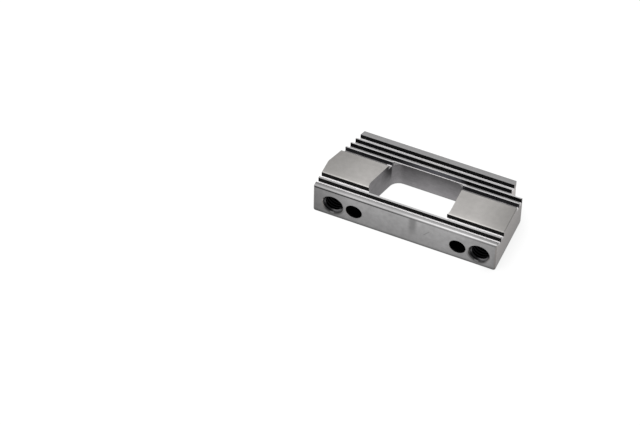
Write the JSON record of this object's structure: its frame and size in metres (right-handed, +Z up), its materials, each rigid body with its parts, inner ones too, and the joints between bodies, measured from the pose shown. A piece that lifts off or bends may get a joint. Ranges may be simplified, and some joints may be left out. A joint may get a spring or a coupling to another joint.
{
  "type": "machined mounting block",
  "caption": "Flat ground steel block with thin straight ribs, a round-cornered window, threaded holes and dowel bores in its front face.",
  "frame": {"origin": "middle of the underside's 90 x 41.2 mm box", "axes": "+X along the block from its slanted end to its notched end, +Y from the drilled front face to the back face, +Z up through the slotted top"},
  "size_m": [0.09, 0.0412, 0.016],
  "materials": {
    "ground_steel": "ground, satin"
  },
  "bodies": {
    "root": {"mounting_block": "ground_steel"}
  },
  "joints": []
}
